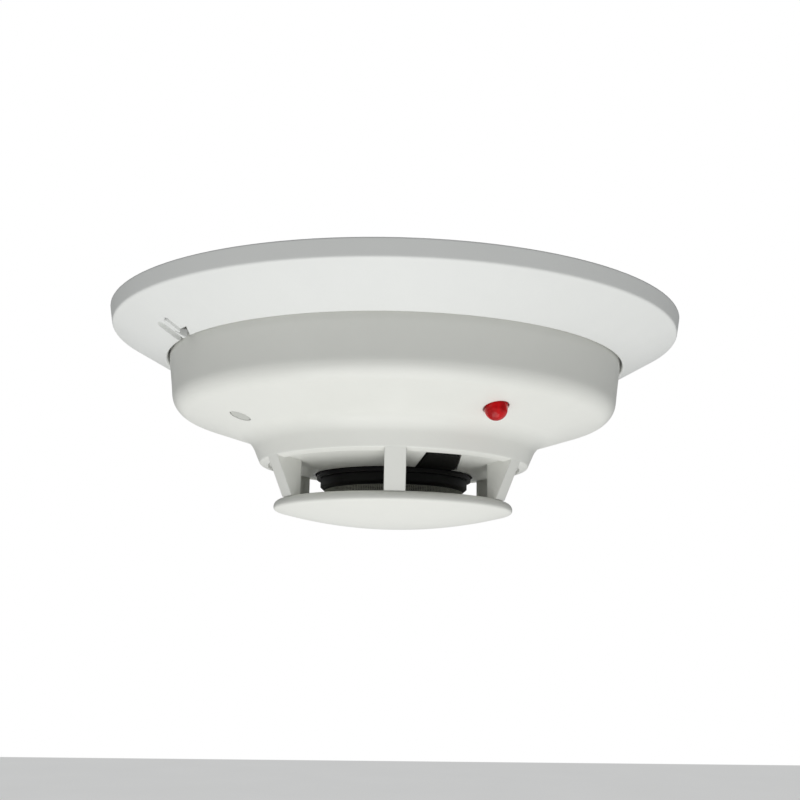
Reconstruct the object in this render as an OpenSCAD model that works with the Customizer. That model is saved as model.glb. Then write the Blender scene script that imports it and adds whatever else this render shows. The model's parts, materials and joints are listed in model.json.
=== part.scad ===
// Plug-in ceiling detector: a twist-lock mounting base and a detector head with a windowed cover.
// The ceiling is the plane z = 0, +Z points up into it, and the detector hangs below along its own axis.

/* [Mounting base] */
// Outer diameter of the base flange, at the ceiling
base_d = 135.8; // [132:0.1:138]
// Height of the upright rim that meets the ceiling
rim_h = 3.7; // [3:0.1:5]
// Depth of the sloped flange, ceiling to inner lip
flange_h = 11; // [10.5:0.1:12]
// Wall thickness of the flange
base_wall = 2.0; // [1.6:0.1:2.4]
// Radius of the opening for the building's wires
wire_hole_r = 22; // [18:0.5:24]

/* [Cover] */
// Diameter of the cover wall where it leaves the flange
cover_d = 107.8; // [107:0.1:108.2]
// Overall height from ceiling to the lowest point of the cover
total_h = 48.8; // [48:0.1:52]
// Wall thickness of the cover
cover_wall = 2.0; // [1.6:0.1:2.4]
// Depth of the corner between the wall and the shoulder
shoulder_z = 22.6; // [22:0.1:23.5]
// Radius of the corner between the shoulder and the neck
neck_top_r = 34.5; // [33:0.1:35.5]
// Radius of the lower edge of the neck, above the windows
neck_r = 32; // [31:0.1:32.5]
// Depth of the lower edge of the neck
neck_z = 34.2; // [33:0.1:35]
// Radius of the bottom disc
disc_r = 28.4; // [28:0.1:30]
// Depth of the top of the bottom disc
disc_z = 43; // [42.5:0.1:44]
// Width of each post between the windows
post_w = 4.7; // [4:0.1:6]
// Number of posts
posts = 6; // [6]

/* [Sensing chamber] */
// Radius of the chamber body
chamber_r = 17.5; // [16.5:0.1:18]
// Depth of the lowest face of the chamber
chamber_z = 42.2; // [41:0.1:42.5]
// Number of windows round the chamber cap
cap_windows = 16; // [12:1:20]

/* [Electrical parts] */
// Number of terminals, and of the blades that plug into them
terminals = 4; // [4]
// Radius of the ring of terminals
terminal_r = 33; // [32:0.5:34]
// Radius of the circuit board
board_r = 46; // [44:0.5:47]
// Depth of the upper face of the circuit board
board_z = 17; // [16.5:0.1:17.5]
// Thickness of the circuit board
board_t = 1.6; // [1.2:0.2:1.6]

/* [Controls] */
// Angle that the head turns through to unlock
twist = 20; // [18:1:22]
// Diameter of the indicator lens
lens_d = 5; // [5:0.1:6]
// Travel of the test button
button_travel = 0.8; // [0.4:0.1:0.8]

/* [Hidden] */
$fn = 96;
gap = 0.1;                          // between parts that turn or rest on each other
base_r = base_d / 2;
rim_r = base_r - 0.6;               // lower edge of the rim, which is drafted
cover_r = cover_d / 2;
lip_r = cover_r + 0.55;             // inner lip of the flange, just clear of the cover
collar_r = lip_r + 1.75;            // outside of the collar above the lip
plate_t = 2.0;                      // base plate
slope = (flange_h - rim_h) / (rim_r - lip_r);
slope_angle = atan(slope);
skirt_z = 7.4;                      // top edge of the cover
housing_r = cover_r - 3.4;
housing_z = 8.0;
housing_t = 1.6;
housing_bottom = 19;
board_face = board_z + board_t;     // lower face of the circuit board
deck_t = 1.6;
deck_hole_r = chamber_r + 1.25;
neck_top_z = 28.45;                 // depth of the corner between the shoulder and the neck
neck_lip_r = 30;                    // inner edge of the neck's lower face
post_inner_r = 25.8;
post_start = -89.6;
post_angles = [for (k = [0:posts - 1]) post_start + k * 360 / posts];
dome_edge = 45.1;                   // depth of the disc's rim edge
dome_h = total_h - dome_edge;
dome_sphere_r = (disc_r * disc_r + dome_h * dome_h) / (2 * dome_h);
hook_angles = [40, 155, 295];       // unequal spacing, so the head goes in one way round
hook_half = 9;
lug_half = 8;
latch_angles = [15, 105, 195, 285];
fork_angle = 35;
screw_angle = 60;
terminal_angles = [for (k = [0:terminals - 1]) k * 360 / terminals];
board_screw_angles = [75, 195, 315];
board_screw_r = 41.5;
lens_angle = -59.5;
lens_at_r = 42;
lens_tip = 28.9;
button_angle = -147.5;
button_at_r = 40.75;
button_r = 2.15;
slot_angle = -149.2;                // release slot on the flange
lever_pin_angle = -163;
lever_pin_r = 60.5;
lever_tip_angle = -144.8;
flange_top = 36.6;                  // flange of the chamber, just below the deck's collar
flange_bottom = 37.6;
screen_top = 40.1;
screen_step = 1.3;                  // how far the screen is set in from the chamber's wall
optics_z = 31.6;                    // depth of the optical plane in the chamber
arm_inner = [9.3, -16];
arm_outer = [11.1, -28.3];
thermistor_angles = [post_start, post_start + 180];
thermistor_r = 23.5;
white = [0.91, 0.92, 0.90];
black = [0.06, 0.06, 0.055];
steel = [0.72, 0.73, 0.74];
brass = [0.80, 0.66, 0.36];

// ---- helpers ----

function unit(v) = v / norm(v);
function right_of(a, b) = let (d = unit(b - a)) [d[1], -d[0]];

// Point b of the outline a-b-c, moved by t to the right of the direction of travel
function inset_corner(a, b, c, t) =
    let (m = right_of(a, b), n = right_of(b, c)) b + t * (m + n) / (1 + m * n);

// An open outline moved sideways by t
function inset(pts, t) = [for (i = [0:len(pts) - 1])
    i == 0 ? pts[0] + t * right_of(pts[0], pts[1])
    : i == len(pts) - 1 ? pts[i] + t * right_of(pts[i - 1], pts[i])
    : inset_corner(pts[i - 1], pts[i], pts[i + 1], t)];

// The arc of radius r that rounds corner b between a and c
function corner_arc(a, b, c, r, n) =
    let (u = unit(a - b), v = unit(c - b), half = acos(u * v) / 2,
         centre = b + unit(u + v) * r / sin(half),
         p = b + u * r / tan(half) - centre, q = b + v * r / tan(half) - centre,
         start = atan2(p[1], p[0]), turn = atan2(p[0] * q[1] - p[1] * q[0], p * q))
    [for (k = [0:n]) centre + r * [cos(start + turn * k / n), sin(start + turn * k / n)]];

// An open outline whose inner corners are rounded by the matching radii
function rounded(pts, radii, n = 10) = [for (i = [0:len(pts) - 1])
    each (radii[i] == 0 ? [pts[i]] : corner_arc(pts[i - 1], pts[i], pts[i + 1], radii[i], n))];

function reversed(v) = [for (i = [len(v) - 1:-1:0]) v[i]];

module at(r, angle, z = 0) { rotate([0, 0, angle]) translate([r, 0, z]) children(); }

// A sector of a flat ring between two radii, two depths and two angles
module sector(r1, r2, top, bottom, from, to) {
    rotate([0, 0, from]) rotate_extrude(angle = to - from)
        translate([r1, -bottom]) square([r2 - r1, bottom - top]);
}

module ring(r1, r2, top, bottom) {
    rotate_extrude() translate([r1, -bottom]) square([r2 - r1, bottom - top]);
}

module rod(r, top, bottom) { translate([0, 0, -bottom]) cylinder(r = r, h = bottom - top); }

module block(w, d, top, bottom) {
    translate([-w / 2, -d / 2, -bottom]) cube([w, d, bottom - top]);
}

// A slot with round ends along X
module slot(length, width, top, bottom) {
    translate([0, 0, -bottom]) linear_extrude(bottom - top) {
        square([length - width, width], center = true);
        for (s = [-1, 1]) translate([s * (length - width) / 2, 0]) circle(d = width);
    }
}

// ---- mounting base ----

flange_outline = [[base_r, 0], [rim_r, -rim_h], [lip_r, -flange_h], [lip_r, -plate_t]];

function flange_z(r) = rim_h + (rim_r - r) * slope;

module flange_cavity() {
    inner = collar_r;
    outer = rim_r - base_wall;
    rotate_extrude() polygon([[inner, 1], [outer, 1], [outer, -flange_z(outer) + base_wall],
                              [inner, -flange_z(inner) + base_wall]]);
}

// Radial ribs that stiffen the flange, left out round the release lever
module flange_ribs() {
    intersection() {
        flange_cavity();
        for (a = [0:15:359]) if (a < 190 || a > 222)
            at(lip_r + 1, a) translate([0, -0.6, -flange_h]) cube([11, 1.2, flange_h - 0.8]);
    }
}

// A hook that carries one lug of the head, closed at the end that stops the lug
module bayonet_hook(a) {
    rotate([0, 0, a - hook_half]) rotate_extrude(angle = 2 * hook_half + 1.5)
        polygon([[47.1, -plate_t / 2], [48.5, -plate_t / 2], [48.5, -7], [43.3, -7], [43.3, -5.6],
                 [47.1, -5.6]]);
    sector(43.8, 48, plate_t / 2, 6.4, a + lug_half + 0.4, a + hook_half + 1.1);
}

// The groove on the flange that guides a release tool to the lever
module release_groove() {
    at(lip_r + 2.9, slot_angle, -flange_z(lip_r + 2.9)) rotate([0, -slope_angle, 0])
        slot(6.6, 2.7, -1.35, 1);
}

module release_ridge() {
    at(lip_r + 3.2, slot_angle + 4, -flange_z(lip_r + 3.2)) rotate([0, -slope_angle, 0])
        slot(6.0, 1.0, -0.5, 0.55);
}

// The three-cornered hole through the lip, in front of the lever's tip
module release_hole() {
    translate([0, 0, -flange_h - 1]) linear_extrude(flange_h - 4)
        polygon([for (p = [[lip_r + 2.5, -147.5], [lip_r - 1, -145.9], [lip_r + 2.5, -142]])
            p[0] * [cos(p[1]), sin(p[1])]]);
}

module mounting_base() {
    color(white) difference() {
        union() {
            rotate_extrude() polygon(concat(rounded(flange_outline, [0, 0.7, 0.45, 0], 6),
                [[wire_hole_r + 1, -plate_t], [wire_hole_r + 1, 0]]));
            ring(wire_hole_r, wire_hole_r + 1.6, 0, plate_t + 1.2);
            for (a = hook_angles) bayonet_hook(a);
            for (a = terminal_angles) at(terminal_r, a + screw_angle) rod(4.2, 0, plate_t);
            release_ridge();
        }
        difference() {
            flange_cavity();
            flange_ribs();
            at(lever_pin_r, lever_pin_angle) { rod(1.2, 0.8, 8); rod(2.1, 4.1, 8); }
        }
        for (s = [-1, 1]) translate([s * 39.6875, 0]) slot(24, 4.6, -1, 3);
        for (s = [-1, 1]) translate([0, s * 41.65]) rotate([0, 0, 90]) slot(10, 4.6, -1, 3);
        for (a = terminal_angles) at(terminal_r, a + screw_angle) rod(1.75, 0.4, 3);
        sector(lip_r - 1, collar_r + 0.3, plate_t + 0.3, flange_h - 2.2, -148.5, -141);
        release_groove();
        release_hole();
    }
}

module terminal_screws() {
    color(steel) for (a = terminal_angles) at(terminal_r, a + screw_angle) difference() {
        union() {
            rod(1.7, 0.5, 3.6);
            rod(3.2, 3.3, 5.2);
        }
        rotate([0, 0, 25]) block(5.4, 0.9, 4.3, 6);
        rotate([0, 0, 115]) block(3.6, 0.9, 4.3, 6);
    }
}

module terminal_clamp_plates() {
    color(steel) for (a = terminal_angles) at(terminal_r, a + screw_angle) difference() {
        block(7.4, 7.4, 2.65, 3.3);
        rod(1.9, 2, 4);
        for (s = [-1, 1]) translate([0, s * 3.4]) block(4, 0.5, 3.0, 4);
    }
}

module base_contact_springs() {
    color(brass) for (a = terminal_angles) rotate([0, 0, a]) difference() {
        union() {
            sector(30.2, 36.4, plate_t, 2.6, fork_angle - 6, screw_angle + 8);
            sector(31, 36, 3.6, 4.1, fork_angle - 5.5, fork_angle + 8);
            sector(31.3, 35.7, 2.3, 3.9, fork_angle + 7, fork_angle + 7.7);
        }
        at(terminal_r, screw_angle) rod(1.9, 1, 3);
    }
}

module tamper_release_lever() {
    tip = (lip_r + 3.2) * [cos(lever_tip_angle - lever_pin_angle), sin(lever_tip_angle - lever_pin_angle)];
    arm = tip - [lever_pin_r, 0];
    color(black) difference() {
        union() {
            at(lever_pin_r, lever_pin_angle) {
                rod(2.4, 1.2, 4);
                rotate([0, 0, atan2(arm[1], arm[0])]) translate([0, -1, -4]) cube([norm(arm), 2, 2.8]);
            }
            sector(lip_r + 2.1, lip_r + 4.3, 1.5, 5.5, lever_tip_angle - 2.2, lever_tip_angle + 2.2);
            sector(lip_r + 0.25, lip_r + 2.2, 2.6, 5.5, lever_tip_angle - 2.2, lever_tip_angle + 2.2);
        }
        at(lever_pin_r, lever_pin_angle) rod(1.25, 1, 6);
    }
}

// ---- detector head ----

module head_housing() {
    lug_ring_r = 43;
    color(white) difference() {
        union() {
            rod(housing_r, housing_z, housing_z + housing_t);
            ring(housing_r - housing_t, housing_r, housing_z, housing_bottom);
            for (a = hook_angles) {
                sector(lug_ring_r - 1.6, lug_ring_r, 3.2, housing_z + gap, a - lug_half, a + lug_half);
                sector(lug_ring_r - 0.5, 46.8, 3.4, 5.5, a - lug_half + 0.2, a + lug_half - 0.2);
            }
            for (a = board_screw_angles) at(board_screw_r, a) rod(3.2, housing_z + gap, board_z);
            for (a = terminal_angles) rotate([0, 0, a])
                sector(35.4, 39.2, housing_z - 1.2, housing_z + 2.6, fork_angle - 7, fork_angle + 7);
        }
        for (a = board_screw_angles) at(board_screw_r, a) rod(1.25, 10.5, 20);
        for (a = terminal_angles) rotate([0, 0, a])
            sector(36.5, 38.1, 5, 12, fork_angle - 5.3, fork_angle + 5.3);
        for (a = latch_angles) sector(housing_r - 1.8, 60, 7, 16.5, a - 6.5, a + 6.5);
        rod(24, 7, housing_z + 0.25);
    }
}

module rating_label() { color([0.95, 0.95, 0.93]) rod(23.6, housing_z + 0.05, housing_z + 0.25); }

module contact_blades() {
    color(brass) for (a = terminal_angles) rotate([0, 0, a]) {
        sector(31.5, 37.8, 2.75, 3.5, fork_angle - 5, fork_angle + 5);
        sector(36.8, 37.8, 2.75, board_z, fork_angle - 5, fork_angle + 5);
    }
}

module cover_latch_fingers() {
    color(white) for (a = latch_angles) {
        sector(housing_r - 1.5, housing_r - 0.2, 8.3, 16.5, a - 5.5, a + 5.5);
        rotate([0, 0, a - 5.5]) rotate_extrude(angle = 11) polygon([[housing_r - 0.3, -8.3],
            [housing_r + 1.2, -8.3], [cover_r - 0.6, -9.2], [cover_r - 0.6, -9.8],
            [housing_r - 0.3, -9.8]]);
    }
}

module circuit_board() {
    color([0.10, 0.35, 0.20]) difference() {
        rod(board_r, board_z, board_face);
        for (a = board_screw_angles) at(board_screw_r, a) rod(1.5, 10, 20);
        for (a = terminal_angles) at(board_r + 1.4, a - 10) rod(3, 10, 20);
    }
}

module board_screws() {
    color(steel) for (a = board_screw_angles) at(board_screw_r, a) difference() {
        union() {
            rod(1.2, 11.5, board_face + 0.2);
            rod(2.5, board_face, board_face + 1.7);
        }
        for (t = [0, 90]) rotate([0, 0, t]) block(3, 0.7, board_face + 0.8, 25);
    }
}

module microcontroller() {
    color([0.12, 0.12, 0.13]) at(31, 100) {
        block(7, 7, board_face + 0.15, board_face + 1.25);
        for (t = [0:90:270], k = [-3:3]) rotate([0, 0, t]) translate([k * 0.8, 3.9])
            block(0.35, 1.4, board_face, board_face + 0.3);
    }
}

module capacitors() {
    color([0.15, 0.17, 0.25]) for (a = [-12, 5]) at(36, a) {
        rod(3.2, board_face + 0.4, board_face + 4.6);
        rod(2.5, board_face, board_face + 0.6);
    }
}

module surge_suppressor() {
    color([0.12, 0.12, 0.12]) at(36, 140) {
        block(3.6, 4.6, board_face + 0.1, board_face + 2.3);
        block(1.6, 6.4, board_face, board_face + 0.4);
    }
}

module chip_components() {
    color([0.70, 0.66, 0.55]) for (k = [0:9]) at(27 + 4 * (k % 3), 165 + 7 * k)
        rotate([0, 0, 30 * (k % 4)]) block(2, 1.2, board_face, board_face + 0.8);
}

module status_led() {
    color([0.85, 0.82, 0.75]) at(lens_at_r, lens_angle)
        difference() {
            block(3.2, 2.8, board_face, board_face + 1.9);
            rod(1.1, board_face + 1.4, 25);
        }
}

module led_lens() {
    lens_r = lens_d / 2;
    foot = board_face + 2.0;
    color([0.45, 0.02, 0.03]) at(lens_at_r, lens_angle) {
        rotate_extrude() polygon(concat([[0, -foot], [lens_r + 0.7, -foot],
            [lens_r + 0.7, -foot - 1], [lens_r, -foot - 1], [lens_r, -lens_tip + lens_r]],
            [for (t = [6:6:90]) [lens_r * cos(t), -lens_tip + lens_r - lens_r * sin(t)]]));
        for (t = [0:120:240]) rotate([0, 0, t]) translate([lens_r, 0]) rod(0.6, board_face, foot + 0.5);
    }
}

module test_switch() {
    color([0.20, 0.20, 0.22]) at(button_at_r, button_angle) difference() {
        union() {
            block(6, 6, board_face, board_face + 3);
            for (s = [-1, 1]) translate([s * 3.2, 0]) block(0.8, 4.6, board_face, board_face + 0.3);
        }
        rod(1.4, board_face + 1.2, 25);
    }
}

// The button's face follows the shoulder, a little below it
module test_button() {
    cap_top = board_face + 3 + button_travel + 0.2;
    color([0.84, 0.85, 0.83]) {
        intersection() {
            at(button_at_r, button_angle) rod(button_r, cap_top, 30);
            inside_cover(0.15);
        }
        at(button_at_r, button_angle) rod(1.3, cap_top - 1.8, cap_top + 0.2);
    }
}

// ---- sensing chamber ----

module chamber_base() {
    inner = chamber_r - 1.8;
    color(black) difference() {
        rotate_extrude() polygon([[0, -board_face], [chamber_r, -board_face],
            [chamber_r, -flange_top], [chamber_r + 0.9, -flange_top],
            [chamber_r + 0.9, -flange_bottom], [inner, -flange_bottom],
            [inner, -board_face - 1.8], [0, -board_face - 1.8]]);
        translate([arm_inner[0], arm_inner[1], -optics_z]) rotate([0, 0, arm_angle])
            rotate([0, 90, 0]) translate([0, 0, -6]) cylinder(r = 1.4, h = 12);
        at(11, 71) block(3.2, 3.2, 10, 25);
    }
}

arm_angle = atan2(arm_outer[1] - arm_inner[1], arm_outer[0] - arm_inner[0]);
arm_length = norm(arm_outer - arm_inner);

// Outline of the tapered arm that holds the emitter, along X from the chamber wall
module arm_outline(grow = 0) {
    polygon([[-1.5 - grow, -4.8 - grow], [arm_length + grow, -3.3 - grow],
             [arm_length + grow, 3.3 + grow], [-1.5 - grow, 4.8 + grow]]);
}

// Side view of the arm, whose underside rises towards the neck
module arm_side() {
    polygon([[-3, -28.2], [arm_length + 1, -28.2], [arm_length + 1, -neck_z - 0.5],
             [0.5, -flange_top + gap], [-3, -flange_top + gap]]);
}

module optics_holder() {
    color(black) difference() {
        intersection() {
            translate([arm_inner[0], arm_inner[1]]) rotate([0, 0, arm_angle]) intersection() {
                translate([0, 0, -40]) linear_extrude(20) arm_outline();
                rotate([90, 0, 0]) translate([0, 0, -8]) linear_extrude(16) arm_side();
            }
            rod(neck_lip_r - 0.9, 20, 45);
        }
        rod(chamber_r, 20, 45);
        translate([arm_inner[0], arm_inner[1], -optics_z]) rotate([0, 0, arm_angle])
            rotate([0, 90, 0]) {
                translate([0, 0, 2.9]) cylinder(r = 2.6, h = 20);
                translate([0, 0, -6]) cylinder(r = 1.4, h = 12);
            }
        translate([arm_inner[0], arm_inner[1], -optics_z]) rotate([0, 0, arm_angle])
            translate([7.2, -2.6, 0]) cube([10, 5.2, 10]);
    }
}

module infrared_emitter() {
    color([0.25, 0.22, 0.32]) translate([arm_inner[0], arm_inner[1], -optics_z])
        rotate([0, 0, arm_angle]) {
            rotate([0, 90, 0]) rotate_extrude() polygon(concat([[0, 9.4], [2.45, 9.4], [2.45, 5.4]],
                [for (t = [0:10:90]) [2.45 * cos(t), 5.4 - 2.4 * sin(t)]]));
            for (s = [-1, 1]) translate([9.0, s * 1.27, 0]) {
                rod(0.3, board_face - optics_z, 0);
            }
        }
}

module photodiode() {
    color([0.20, 0.10, 0.12]) at(11, 71) {
        block(3, 5, optics_z - 2.6, optics_z + 2.6);
        translate([-1.4, 0, -optics_z]) rotate([0, -90, 0]) cylinder(r = 1.7, h = 0.7);
        for (s = [-1, 1]) translate([0.4, s * 1.0]) rod(0.3, board_face, optics_z - 2.4);
    }
}

// A ring of bent vanes that lets smoke in and keeps light out
module chamber_vanes() {
    color(black) {
        ring(13, chamber_r - 2, flange_top, flange_bottom);
        for (k = [0:15]) rotate([0, 0, k * 22.5 + 5]) translate([13.05, 0, 0]) {
            rotate([0, 0, 35]) block(3.0, 0.8, flange_bottom - gap, chamber_z - 1.0);
            translate([-0.9, -0.9]) rotate([0, 0, -25]) block(2.0, 0.8, flange_bottom - gap,
                                                              chamber_z - 1.0);
        }
    }
}

// A band of fine mesh round the cap's windows
module insect_screen() {
    inner = chamber_r - screen_step + 0.05;
    color([0.20, 0.20, 0.19]) difference() {
        ring(inner, inner + 0.3, screen_top + gap, chamber_z - 0.6);
        for (a = [0:7.5:352.5], z = [0.3, 0.9]) at(inner, a)
            translate([-0.7, -0.7, -screen_top - z - 0.35]) cube([2, 1.4, 0.35]);
    }
}

// The cap is stepped, so the screen wraps round its windows
module chamber_cap() {
    step_r = chamber_r - screen_step;
    floor_z = chamber_z - 1;
    color(black) difference() {
        rotate_extrude() polygon([[0, -chamber_z], [step_r - 0.7, -chamber_z],
            [step_r, -chamber_z + 0.5], [step_r, -screen_top], [chamber_r - 0.8, -screen_top],
            [chamber_r, -screen_top + 0.7], [chamber_r, -flange_bottom],
            [chamber_r - 1.5, -flange_bottom], [chamber_r - 1.5, -screen_top + 1.2],
            [step_r - 1.3, -screen_top + 0.5], [step_r - 1.3, -floor_z], [0, -floor_z]]);
        for (k = [0:cap_windows - 1]) at(step_r, k * 360 / cap_windows)
            translate([-1.8, -2.4, -floor_z]) cube([2.6, 4.8, 0.9]);
    }
}

module thermistors() {
    color([0.12, 0.12, 0.12]) for (a = thermistor_angles) at(thermistor_r, a) {
        for (s = [-1, 1]) translate([0, s * 0.7]) rod(0.25, board_face, 39);
        translate([0, 0, -40.2]) scale([1, 1.2, 1.6]) sphere(r = 1.2, $fn = 48);
    }
}

// ---- cover ----

cover_outline = [[cover_r, -skirt_z], [cover_r, -flange_h], [cover_r - 1.4, -shoulder_z],
                 [neck_top_r, -neck_top_z], [neck_r, -neck_z]];

// The space inside the cover's outer surface, moved in by t
module inside_cover(t) {
    rotate_extrude() polygon(concat([[0, -skirt_z]], inset(cover_outline, t), [[0, -neck_z + 0.5]]));
}

// The wall, the shoulder, the neck with its lower lip, and the conical deck round the chamber
module cover_shell() {
    deck_top = -neck_z + deck_t;
    deck_edge = -flange_top + gap;
    inner = inset(cover_outline, cover_wall);
    neck_run = inner[4] - inner[3];
    inner_end = inner[3] + neck_run * (deck_top - inner[3][1]) / neck_run[1];
    rotate_extrude($fn = 180) polygon(concat(
        rounded(concat(cover_outline, [[neck_lip_r, -neck_z - 0.6]]), [0, 20, 5, 6.3, 0.5, 0]),
        [[neck_lip_r - 0.3, -neck_z - 0.1], [deck_hole_r + 0.5, deck_edge], [deck_hole_r, deck_edge],
         [deck_hole_r, deck_edge + deck_t + 0.3]],
        reversed(rounded([inner[0], inner[1], inner[2], inner[3], inner_end], [0, 18, 3, 8.3, 0]))));
}

// The posts carry the slope of the neck down to a shadow line on the disc
module cover_posts() {
    foot = disc_z + 0.1;
    intersection() {
        rotate_extrude($fn = 180) polygon([[post_inner_r, -neck_z + 1], [post_inner_r, -disc_z - 0.6],
            [disc_r - 0.9, -disc_z - 0.6], [disc_r - 0.9, -foot],
            [disc_r - 0.3, -foot], [neck_r - 0.05, -neck_z], [neck_r - 0.6, -neck_z + 1]]);
        for (a = post_angles) at(20, a) translate([0, -post_w / 2, -disc_z - 2]) cube([16, post_w, 14]);
    }
}

// Sleeves that guide the lens and the test button, up to the middle of the shoulder's wall
module sleeves() {
    intersection() {
        for (p = [[button_at_r, button_angle, button_r], [lens_at_r, lens_angle, lens_d / 2]])
            at(p[0], p[1]) rod(p[2] + 1.4, 23.2, 29);
        inside_cover(cover_wall / 2);
    }
}

// The lower disc: a shallow dome with a rounded rim, open towards the chamber
module bottom_disc() {
    steps = 16;
    start = asin(disc_r / dome_sphere_r);
    dome = [for (k = [1:steps]) let (t = start * (1 - k / steps))
        [dome_sphere_r * sin(t), -total_h + dome_sphere_r * (1 - cos(t))]];
    under = [for (p = reversed(dome)) if (p[0] < post_inner_r - 1) p + [0, 2]];
    top = [[post_inner_r - 0.2, -disc_z], [disc_r, -disc_z], [disc_r, -dome_edge]];
    rotate_extrude($fn = 180) polygon(concat(rounded([each top, dome[1]], [0, 1.4, 0.7, 0]),
        [for (k = [2:steps - 1]) dome[k]], under));
}

module outer_cover() {
    color(white) difference() {
        union() {
            cover_shell();
            cover_posts();
            bottom_disc();
            sleeves();
        }
        at(button_at_r, button_angle) rod(button_r + 0.15, 20, 40);
        at(lens_at_r, lens_angle) rod(lens_d / 2 + 0.3, 20, 40);
        for (a = latch_angles) sector(50, 60, 8.1, 10.1, a - 6.5, a + 6.5);
        for (a = thermistor_angles) at(thermistor_r, a) rod(2.2, 30, 38);
        intersection() {
            translate([arm_inner[0], arm_inner[1], -38]) rotate([0, 0, arm_angle])
                linear_extrude(8) arm_outline(0.5);
            rod(neck_lip_r - 0.4, 20, 45);
        }
    }
}

mounting_base();
terminal_screws();
terminal_clamp_plates();
base_contact_springs();
tamper_release_lever();
head_housing();
rating_label();
contact_blades();
circuit_board();
board_screws();
cover_latch_fingers();
microcontroller();
capacitors();
surge_suppressor();
chip_components();
status_led();
led_lens();
test_switch();
test_button();
chamber_base();
optics_holder();
infrared_emitter();
photodiode();
chamber_vanes();
insect_screen();
chamber_cap();
thermistors();
outer_cover();
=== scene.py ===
"""Looks of a plug-in ceiling detector: materials, fine wire screen, light, floor and camera."""
import json
import math

import bmesh
import bpy
from mathutils import Matrix, Vector


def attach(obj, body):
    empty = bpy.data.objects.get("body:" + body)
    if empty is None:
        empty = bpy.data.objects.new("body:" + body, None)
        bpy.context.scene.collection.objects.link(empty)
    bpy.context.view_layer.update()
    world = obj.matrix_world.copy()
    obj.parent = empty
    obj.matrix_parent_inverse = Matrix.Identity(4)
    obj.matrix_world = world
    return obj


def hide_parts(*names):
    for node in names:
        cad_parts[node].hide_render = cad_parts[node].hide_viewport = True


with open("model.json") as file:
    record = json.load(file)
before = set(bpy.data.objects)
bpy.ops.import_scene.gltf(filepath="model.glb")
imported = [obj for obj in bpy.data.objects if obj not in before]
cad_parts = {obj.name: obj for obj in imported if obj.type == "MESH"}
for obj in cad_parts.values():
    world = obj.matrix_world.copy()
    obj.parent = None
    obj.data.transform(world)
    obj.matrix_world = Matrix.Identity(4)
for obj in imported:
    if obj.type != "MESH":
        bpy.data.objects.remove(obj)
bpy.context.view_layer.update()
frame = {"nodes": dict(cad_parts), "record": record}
NODES = frame["nodes"]
MM = 0.001

# Sockets of the mix node that carry colours
MIX_A, MIX_B, MIX_RESULT = 6, 7, 2


# ---- node helpers ----

class Shader:
    """A material with a principled shader, and short names for the nodes that feed it."""

    def __init__(self, name, colour, roughness, **sockets):
        self.material = bpy.data.materials.new(name)
        self.material.use_nodes = True
        self.material.diffuse_color = (*colour, 1)
        self.tree = self.material.node_tree
        self.bsdf = self.tree.nodes["Principled BSDF"]
        self.bsdf.inputs["Base Color"].default_value = (*colour, 1)
        self.bsdf.inputs["Roughness"].default_value = roughness
        for socket, value in sockets.items():
            self.bsdf.inputs[socket.replace("_", " ")].default_value = value
        self.where = self.node("ShaderNodeTexCoord").outputs["Object"]

    def node(self, kind, **settings):
        made = self.tree.nodes.new(kind)
        for key, value in settings.items():
            setattr(made, key, value)
        return made

    def link(self, source, target):
        self.tree.links.new(source, target)

    def noise(self, scale, detail, roughness=0.5, stretch=None):
        made = self.node("ShaderNodeTexNoise")
        made.inputs["Scale"].default_value = scale
        made.inputs["Detail"].default_value = detail
        made.inputs["Roughness"].default_value = roughness
        where = self.where
        if stretch:
            mapping = self.node("ShaderNodeMapping")
            mapping.inputs["Scale"].default_value = stretch
            self.link(self.where, mapping.inputs["Vector"])
            where = mapping.outputs["Vector"]
        self.link(where, made.inputs["Vector"])
        return made.outputs["Fac"]

    def remap(self, value, low, high, out_low, out_high):
        """The stretch from low to high, carried over to the one from out_low to out_high."""
        made = self.node("ShaderNodeMapRange")
        for socket, number in zip(("From Min", "From Max", "To Min", "To Max"),
                                  (low, high, out_low, out_high)):
            made.inputs[socket].default_value = number
        self.link(value, made.inputs["Value"])
        return made.outputs["Result"]

    def math(self, operation, first, second):
        made = self.node("ShaderNodeMath", operation=operation)
        for socket, value in zip(made.inputs, (first, second)):
            if isinstance(value, float):
                socket.default_value = value
            else:
                self.link(value, socket)
        return made.outputs[0]

    def mix(self, factor, first, second):
        """The first colour where the factor is 0, and the second where it is 1."""
        made = self.node("ShaderNodeMix", data_type="RGBA")
        self.link(factor, made.inputs["Factor"])
        made.inputs[MIX_A].default_value = (*first, 1)
        made.inputs[MIX_B].default_value = (*second, 1)
        return made.outputs[MIX_RESULT]

    def colour(self, value):
        self.link(value, self.bsdf.inputs["Base Color"])

    def roughness(self, value):
        self.link(value, self.bsdf.inputs["Roughness"])

    def edges(self, radius):
        """Rounded edges, as a moulding has; returns the rounded normal."""
        made = self.node("ShaderNodeBevel", samples=6)
        made.inputs["Radius"].default_value = radius
        return made.outputs["Normal"]

    def bump(self, height, depth, strength, normal=None):
        """Relief of a depth in metres, on top of the normal where one is given."""
        made = self.node("ShaderNodeBump")
        made.inputs["Distance"].default_value = depth
        made.inputs["Strength"].default_value = strength
        self.link(height, made.inputs["Height"])
        if normal:
            self.link(normal, made.inputs["Normal"])
        self.link(made.outputs["Normal"], self.bsdf.inputs["Normal"])


# ---- materials ----

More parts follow.
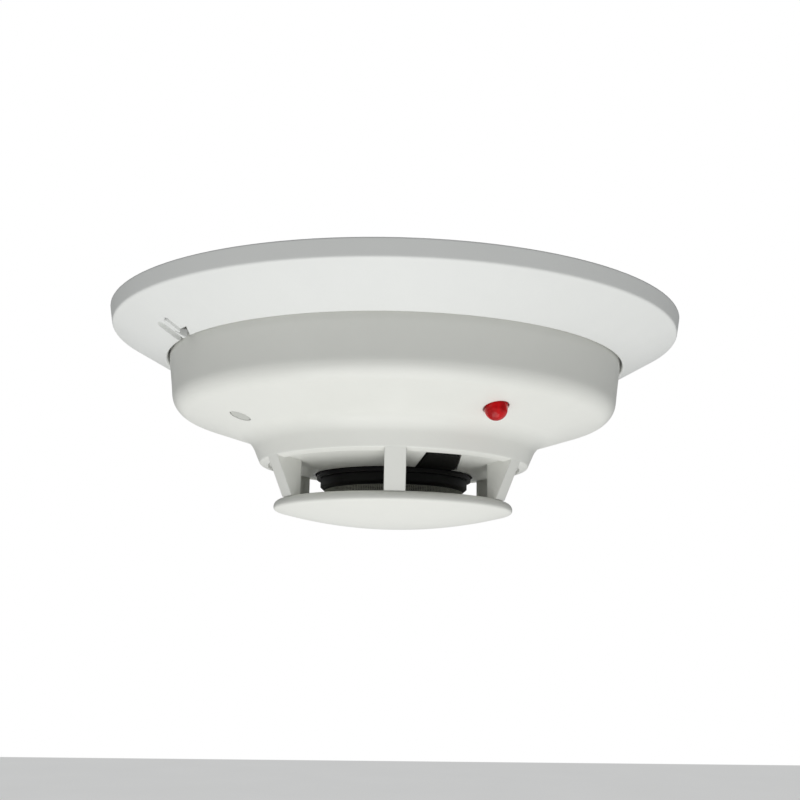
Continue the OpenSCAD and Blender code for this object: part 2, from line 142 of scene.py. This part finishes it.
def moulded(name, colour, darker, roughness=0.36, grain=0.000012, edge=0.0004, specular=0.5):
    """Satin moulded plastic: faint tone drift, fine mould grain, slightly uneven gloss."""
    made = Shader(name, colour, roughness, Specular_IOR_Level=specular, IOR=1.49)
    drift = made.noise(22, 4)
    dust = made.noise(170, 5, 0.6)
    both = made.math("ADD", made.math("MULTIPLY", drift, 0.7), made.math("MULTIPLY", dust, 0.3))
    made.colour(made.mix(made.remap(both, 0.3, 0.7, 0, 1), darker, colour))
    made.roughness(made.remap(made.noise(60, 4), 0.3, 0.7, roughness - 0.04, roughness + 0.05))
    made.bump(made.noise(2600, 2), grain, 1.0, made.edges(edge))
    return made.material


def brushed(name, colour, darker, roughness, stretch):
    made = Shader(name, colour, roughness, Metallic=1.0)
    lines = made.noise(900, 3, 0.6, stretch)
    made.colour(made.mix(made.remap(lines, 0.3, 0.7, 0, 1), darker, colour))
    made.roughness(made.remap(lines, 0.3, 0.7, roughness - 0.08, roughness + 0.1))
    made.bump(lines, 0.00001, 0.6, made.edges(0.0001))
    return made.material


def lens_plastic():
    made = Shader("red_lens", (0.75, 0.004, 0.008), 0.06, IOR=1.45, Specular_IOR_Level=0.3,
                  Transmission_Weight=0.15)
    depth = made.noise(420, 2)
    made.colour(made.mix(made.remap(depth, 0.35, 0.65, 0, 1), (0.45, 0.001, 0.004),
                         (0.85, 0.006, 0.010)))
    made.bump(made.noise(900, 1), 0.00004, 0.5)
    return made.material


def board_lacquer():
    """Green solder mask with fine tracks just under it."""
    made = Shader("circuit_board", (0.02, 0.13, 0.06), 0.3, Coat_Weight=0.5, Coat_Roughness=0.15)
    tracks = made.node("ShaderNodeTexBrick", offset=0.37, squash=1.6)
    tracks.inputs["Scale"].default_value = 120
    tracks.inputs["Mortar Size"].default_value = 0.045
    tracks.inputs["Brick Width"].default_value = 0.9
    tracks.inputs["Row Height"].default_value = 0.22
    made.link(made.where, tracks.inputs["Vector"])
    made.colour(made.mix(tracks.outputs["Fac"], (0.012, 0.10, 0.045), (0.05, 0.24, 0.11)))
    made.bump(tracks.outputs["Fac"], 0.00003, 0.6, made.edges(0.0002))
    return made.material


MATERIALS = {
    "white_plastic": moulded("white_plastic", (0.80, 0.805, 0.76), (0.77, 0.775, 0.73)),
    "base_plastic": moulded("base_plastic", (0.80, 0.81, 0.79), (0.77, 0.78, 0.76), 0.40),
    # The button's grey is painted shade: a darker copy of the white plastic that stands in for the
    # shade of the recess it sits in.
    "button_plastic": moulded("button_plastic", (0.55, 0.56, 0.52), (0.50, 0.51, 0.47), 0.5),
    "black_plastic": moulded("black_plastic", (0.0065, 0.0065, 0.0055), (0.0045, 0.0045, 0.004),
                             0.5, 0.00003, 0.0002, 0.25),
    "component_black": moulded("component_black", (0.022, 0.022, 0.024), (0.014, 0.014, 0.015),
                               0.5, 0.00002, 0.0001),
    "component_tan": moulded("component_tan", (0.42, 0.34, 0.22), (0.32, 0.25, 0.16), 0.5,
                             0.00002, 0.0001),
    "capacitor_sleeve": moulded("capacitor_sleeve", (0.03, 0.035, 0.08), (0.02, 0.022, 0.05),
                                0.25, 0.00001, 0.0003),
    "led_body": moulded("led_body", (0.72, 0.68, 0.58), (0.62, 0.58, 0.5), 0.4, 0.00001, 0.0001),
    "label_paper": moulded("label_paper", (0.80, 0.80, 0.77), (0.74, 0.74, 0.71), 0.6, 0.00003,
                           0.00005),
    "emitter_epoxy": moulded("emitter_epoxy", (0.05, 0.03, 0.09), (0.03, 0.02, 0.05), 0.12,
                             0.000005, 0.0001),
    "steel": brushed("steel", (0.66, 0.66, 0.64), (0.42, 0.42, 0.42), 0.32, (1, 8, 1)),
    "brass": brushed("brass", (0.80, 0.60, 0.30), (0.55, 0.38, 0.16), 0.28, (1, 6, 1)),
    "screen_metal": moulded("screen_metal", (0.45, 0.45, 0.39), (0.36, 0.36, 0.31), 0.5,
                            0.000005, 0.00002),
    "red_lens": lens_plastic(),
    "circuit_board": board_lacquer(),
}

for part in frame["record"]["subparts"]:
    node = NODES[part["node"]]
    node.data.materials.clear()
    node.data.materials.append(MATERIALS[part["material_slot"]])


# ---- the woven wire that the screen is made of ----

# Radius of the weave, its top and bottom hoop, one wire's radius, and how far a wire sways in and out
SCREEN_R = 16.4 * MM
SCREEN_TOP, SCREEN_BOTTOM = -40.3 * MM, -41.5 * MM
WIRE_R = 0.07 * MM
SWAY = 0.8 * WIRE_R


def strand(mesh, path, closed=False, sides=6):
    """A wire through the path, a list of (centre, first axis, second axis) of each section."""
    turns = [2 * math.pi * k / sides for k in range(sides)]
    rings = [[mesh.verts.new(centre + WIRE_R * (math.cos(t) * one + math.sin(t) * two))
              for t in turns] for centre, one, two in path]
    for first, second in zip(rings, rings[1:] + (rings[:1] if closed else [])):
        for k in range(sides):
            after = (k + 1) % sides
            mesh.faces.new((first[k], first[after], second[after], second[k]))


def woven_screen(uprights=240, hoops=5):
    """Uprights and hoops that pass over and under each other round the chamber."""
    up = Vector((0, 0, 1))
    mesh = bmesh.new()
    step = 2 * math.pi / uprights
    levels = [SCREEN_TOP + (SCREEN_BOTTOM - SCREEN_TOP) * k / (hoops - 1) for k in range(hoops)]

    def out(angle):
        return Vector((math.cos(angle), math.sin(angle), 0))

    for hoop, z in enumerate(levels):
        path = []
        for k in range(2 * uprights):
            sway = SWAY * math.cos(math.pi * (k / 2 + hoop))
            path.append((out(k * step / 2) * (SCREEN_R + sway) + up * z, out(k * step / 2), up))
        strand(mesh, path, closed=True)
    for k in range(uprights):
        side = up.cross(out(k * step))
        path = []
        for hoop, z in enumerate(levels):
            sway = SWAY * math.cos(math.pi * (k + hoop))
            path.append((out(k * step) * (SCREEN_R - sway) + up * z, out(k * step), side))
        strand(mesh, path)
    data = bpy.data.meshes.new("woven_screen")
    mesh.to_mesh(data)
    mesh.free()
    data.shade_smooth()
    screen = bpy.data.objects.new("woven_screen", data)
    bpy.context.scene.collection.objects.link(screen)
    data.materials.append(MATERIALS["screen_metal"])
    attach(screen, "head")
    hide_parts("insect_screen")


woven_screen()


# ---- light, floor and camera ----

# Height of the floor, and its reach from the middle to each side, in metres
FLOOR_Z = -0.75
FLOOR_REACH = 6


def stage_floor():
    """A pale matt floor, well below the detector."""
    mesh = bmesh.new()
    bmesh.ops.create_grid(mesh, x_segments=1, y_segments=1, size=FLOOR_REACH)
    data = bpy.data.meshes.new("floor")
    mesh.to_mesh(data)
    mesh.free()
    floor = bpy.data.objects.new("floor", data)
    floor.location = (0, 0, FLOOR_Z)
    bpy.context.scene.collection.objects.link(floor)
    shader = Shader("pale_floor", (0.86, 0.86, 0.85), 0.8)
    shader.colour(shader.mix(shader.noise(3, 3), (0.84, 0.84, 0.83), (0.88, 0.88, 0.87)))
    data.materials.append(shader.material)


def light_from_below(power):
    """A wide soft lamp just above the floor and in front, aimed at the underside of the detector."""
    place = Vector((-0.03, -0.22, -0.63))
    target = Vector((0, 0, -0.02))
    lamp = bpy.data.lights.new("key_below", "AREA")
    lamp.shape = "DISK"
    lamp.size = 0.8
    lamp.energy = power
    made = bpy.data.objects.new("key_below", lamp)
    made.location = place
    made.rotation_euler = (target - place).to_track_quat("-Z", "Y").to_euler()
    made.visible_camera = False
    bpy.context.scene.collection.objects.link(made)


def light_from_above(strength):
    """Even light on the whole floor, which it throws back up to the detector."""
    lamp = bpy.data.lights.new("overhead", "SUN")
    lamp.energy = strength
    lamp.angle = math.radians(30)
    bpy.context.scene.collection.objects.link(bpy.data.objects.new("overhead", lamp))


def studio_world(light):
    """Soft even light all round, behind which the camera sees plain white."""
    world = bpy.data.worlds.new("studio")
    world.use_nodes = True
    tree = world.node_tree
    tree.nodes.clear()
    seen, lit = tree.nodes.new("ShaderNodeBackground"), tree.nodes.new("ShaderNodeBackground")
    seen.inputs["Color"].default_value = (1, 1, 1, 1)
    seen.inputs["Strength"].default_value = 1.0
    lit.inputs["Color"].default_value = (0.94, 0.97, 1.0, 1)
    lit.inputs["Strength"].default_value = light
    path, mix = tree.nodes.new("ShaderNodeLightPath"), tree.nodes.new("ShaderNodeMixShader")
    out = tree.nodes.new("ShaderNodeOutputWorld")
    tree.links.new(path.outputs["Is Camera Ray"], mix.inputs["Fac"])
    tree.links.new(lit.outputs[0], mix.inputs[1])
    tree.links.new(seen.outputs[0], mix.inputs[2])
    tree.links.new(mix.outputs[0], out.inputs["Surface"])
    bpy.context.scene.world = world


def photo_camera():
    """Just below the detector and close in front of it, looking slightly up."""
    place = Vector((0, -275.9, -72.7)) * MM
    aim = Vector((8.94, 0, -24.5)) * MM
    data = bpy.data.cameras.new("camera")
    data.lens = 52.05
    data.sensor_width = 36.0
    data.shift_x, data.shift_y = -0.0397, 0.0356
    data.clip_start = 0.01
    camera = bpy.data.objects.new("camera", data)
    roll = Matrix.Rotation(math.radians(0.81), 3, "Z")
    turn = (aim - place).to_track_quat("-Z", "Y").to_matrix() @ roll
    camera.matrix_world = Matrix.Translation(place) @ turn.to_4x4()
    bpy.context.scene.collection.objects.link(camera)
    bpy.context.scene.camera = camera


stage_floor()
light_from_below(2.65)
light_from_above(1.55)
studio_world(0.20)
photo_camera()
bpy.context.scene.view_settings.view_transform = "Standard"
